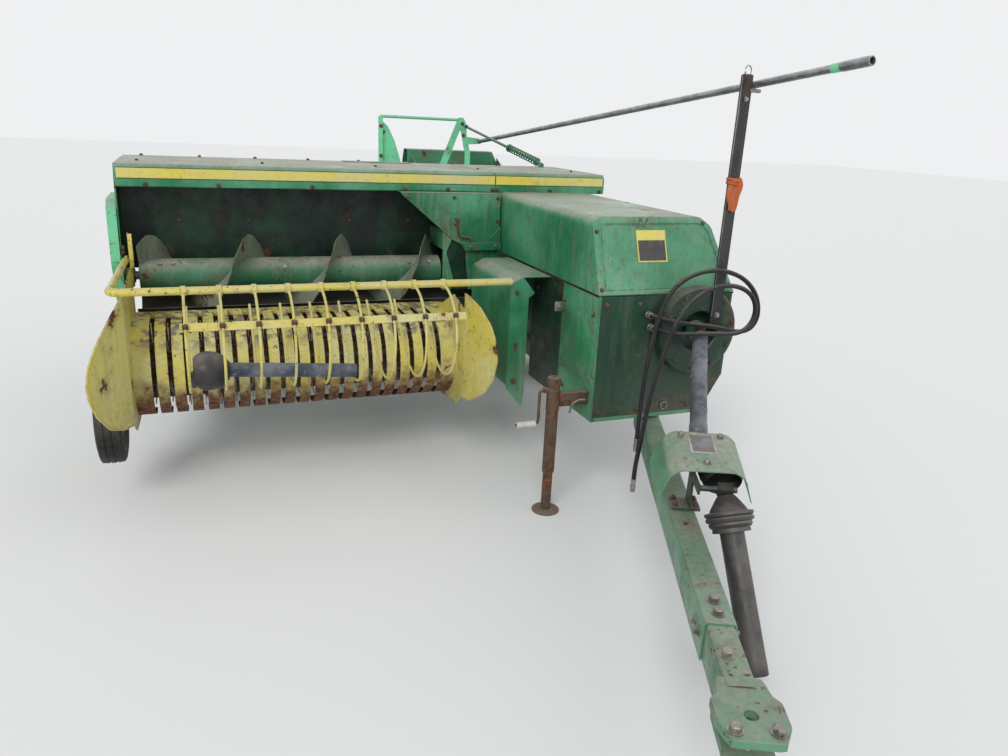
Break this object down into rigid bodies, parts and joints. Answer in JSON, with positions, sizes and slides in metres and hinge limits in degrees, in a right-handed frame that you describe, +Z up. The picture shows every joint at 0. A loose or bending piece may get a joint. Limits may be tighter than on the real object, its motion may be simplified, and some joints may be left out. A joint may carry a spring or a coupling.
{
  "type": "square baler",
  "caption": "Trailed square hay baler with a side pickup, a tine reel, a cross auger, a bale chamber, a drive shield and a swinging tongue.",
  "frame": {"origin": "middle of the machine's bounding box, on the ground", "axes": "+X to the machine's left, the side of the bale chamber; -Y forward, to the hitch; +Z up"},
  "size_m": [2.87, 5.285, 1.9289],
  "materials": {
    "green_paint": "worn satin",
    "dark_green_paint": "worn satin",
    "pale_green_paint": "worn satin",
    "yellow_paint": "worn satin",
    "black_paint": "satin",
    "bare_steel": "dull",
    "rusty_steel": "rusty",
    "tyre": "matt",
    "black_plastic": "matt",
    "worn_blue": "worn",
    "hose_rubber": "matt"
  },
  "bodies": {
    "chassis": {"main_frame": "green_paint", "bale_chamber": "green_paint", "auger_housing": "green_paint", "auger_boss": "green_paint", "hood": "green_paint", "feeder_panel": "green_paint", "upper_drive_shield": "green_paint", "lower_drive_shield": "dark_green_paint", "box_guard": "green_paint", "end_guard": "pale_green_paint", "knotter_stack": "green_paint", "rear_arm": "green_paint", "spring_rod": "green_paint", "arm_spring": "green_paint", "post": "black_paint", "control_rod": "bare_steel", "density_rails": "green_paint", "twine_box": "green_paint", "jack_tube": "rusty_steel", "hose_a": "hose_rubber", "hose_b": "hose_rubber", "coupler_a": "bare_steel", "coupler_b": "bare_steel"},
    "twine_lid": {"twine_lid": "green_paint"},
    "star_wheel": {"star_wheel": "bare_steel"},
    "needles": {"needle_yoke": "bare_steel"},
    "left_wheel": {"left_tyre": "tyre", "left_rim": "yellow_paint"},
    "right_wheel": {"right_tyre": "tyre", "right_rim": "yellow_paint"},
    "auger": {"auger_tube": "green_paint", "auger_shaft": "bare_steel", "auger_flights": "green_paint"},
    "flywheel": {"flywheel": "green_paint"},
    "pickup": {"pickup_frame": "yellow_paint", "pickup_pan": "rusty_steel", "outer_end": "yellow_paint", "inner_end": "yellow_paint", "stripper_bands": "yellow_paint"},
    "reel": {"tine_reel": "bare_steel"},
    "windguard": {"windguard": "yellow_paint", "stored_shaft": "black_plastic"},
    "gauge_wheel": {"gauge_tyre": "tyre", "gauge_rim": "bare_steel"},
    "tongue": {"tongue": "green_paint", "hitch": "green_paint", "pedestal": "green_paint", "bell_shield": "green_paint"},
    "pto_rear": {"pto_rear": "worn_blue"},
    "pto_middle": {"pto_middle": "black_plastic"},
    "jack_leg": {"jack_leg": "rusty_steel"},
    "jack_crank": {"jack_crank": "bare_steel"}
  },
  "joints": [
    {"name": "left_wheel_spin", "type": "hinge", "parent": "chassis", "child": "left_wheel", "pos_m": [1.326, 1.15, 0.343], "axis": [1, 0, 0], "continuous": true},
    {"name": "right_wheel_spin", "type": "hinge", "parent": "chassis", "child": "right_wheel", "pos_m": [-0.9, 1.15, 0.32], "axis": [1, 0, 0], "continuous": true},
    {"name": "auger_turn", "type": "hinge", "parent": "chassis", "child": "auger", "pos_m": [0, 0.41, 0.884], "axis": [1, 0, 0], "continuous": true},
    {"name": "flywheel_turn", "type": "hinge", "parent": "chassis", "child": "flywheel", "pos_m": [1.035, 0, 0.83], "axis": [0, 1, 0], "continuous": true},
    {"name": "pickup_lift", "type": "hinge", "parent": "chassis", "child": "pickup", "pos_m": [0, 0.41, 0.884], "axis": [1, 0, 0], "range_deg": [0, 20]},
    {"name": "reel_turn", "type": "hinge", "parent": "pickup", "child": "reel", "pos_m": [0, 0.04, 0.533], "axis": [1, 0, 0], "continuous": true},
    {"name": "windguard_swing", "type": "hinge", "parent": "pickup", "child": "windguard", "pos_m": [0, 0.35, 0.972], "axis": [1, 0, 0], "range_deg": [-35, 0]},
    {"name": "gauge_wheel_spin", "type": "hinge", "parent": "pickup", "child": "gauge_wheel", "pos_m": [-1.372, -0.14, 0.376], "axis": [1, 0, 0], "continuous": true},
    {"name": "tongue_swing", "type": "hinge", "parent": "chassis", "child": "tongue", "pos_m": [0.981, -0.62, 0.4], "axis": [0, 0, 1], "range_deg": [0, 30]},
    {"name": "pto_rear_yaw", "type": "hinge", "parent": "chassis", "child": "pto_rear", "pos_m": [1.035, -0.905, 0.83], "axis": [0, 0, 1], "range_deg": [0, 39.6]},
    {"name": "pto_middle_swing", "type": "hinge", "parent": "tongue", "child": "pto_middle", "pos_m": [0.58346, -1.75757, 0.54], "axis": [0.91, -0.4147, 0], "range_deg": [-50, 0]},
    {"name": "twine_lid_swing", "type": "hinge", "parent": "chassis", "child": "twine_lid", "pos_m": [0, 1.852, 1.204], "axis": [1, 0, 0], "range_deg": [-100, 0]},
    {"name": "star_wheel_turn", "type": "hinge", "parent": "chassis", "child": "star_wheel", "pos_m": [0.875, 2.296, 1.12], "axis": [1, 0, 0], "continuous": true},
    {"name": "needle_swing", "type": "hinge", "parent": "chassis", "child": "needles", "pos_m": [0.875, 2, 0.858], "axis": [1, 0, 0], "range_deg": [-58, 0]},
    {"name": "jack_crank_turn", "type": "hinge", "parent": "chassis", "child": "jack_crank", "pos_m": [0.35, -0.783, 0.575], "axis": [1, 0, 0], "continuous": true},
    {"name": "jack_leg_slide", "type": "slide", "parent": "chassis", "child": "jack_leg", "axis": [0, 0, 1], "range_m": [0, 0.14]}
  ],
  "couplings": [
    {"joint": "pto_rear_yaw", "follows": "tongue_swing", "ratio": 1.32}
  ]
}
